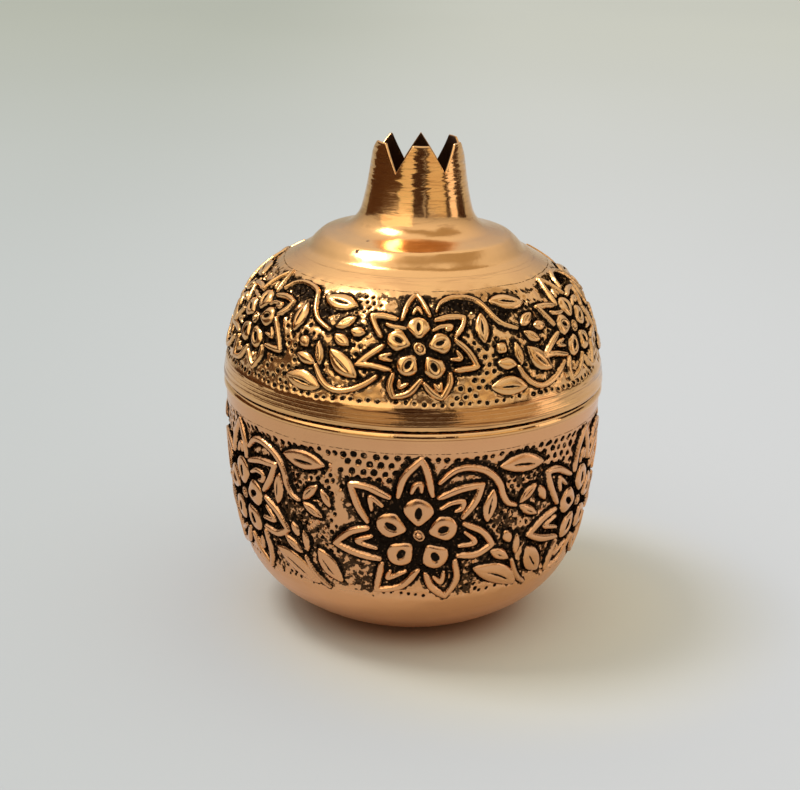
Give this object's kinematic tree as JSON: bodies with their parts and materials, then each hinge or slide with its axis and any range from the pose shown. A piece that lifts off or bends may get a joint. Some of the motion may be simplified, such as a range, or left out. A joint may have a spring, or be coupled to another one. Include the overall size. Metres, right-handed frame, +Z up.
{
  "type": "lidded sugar bowl",
  "caption": "Pomegranate-shaped copper bowl with a lift-off domed lid and a toothed crown, chased with flowers and scrolling leaves.",
  "frame": {"origin": "centre of the flat ring that the bowl stands on", "axes": "+Z up along the axis of the bowl, -Y towards the flower that the reference view faces"},
  "size_m": [0.1016, 0.1016, 0.129],
  "materials": {
    "chased_copper": "chased and blackened in the ground, polished on the relief",
    "polished_copper": "spun and polished copper with fine turning lines",
    "tinned_copper": "copper wiped with tin, satin"
  },
  "bodies": {
    "bowl_body": {"bowl": "chased_copper", "mouth_collar": "tinned_copper"},
    "lid_body": {"lid": "chased_copper", "crown": "polished_copper"}
  },
  "joints": [
    {"name": "lid_lift", "type": "slide", "parent": "bowl_body", "child": "lid_body", "axis": [0, 0, 1], "range_m": [0, 0.08]}
  ]
}
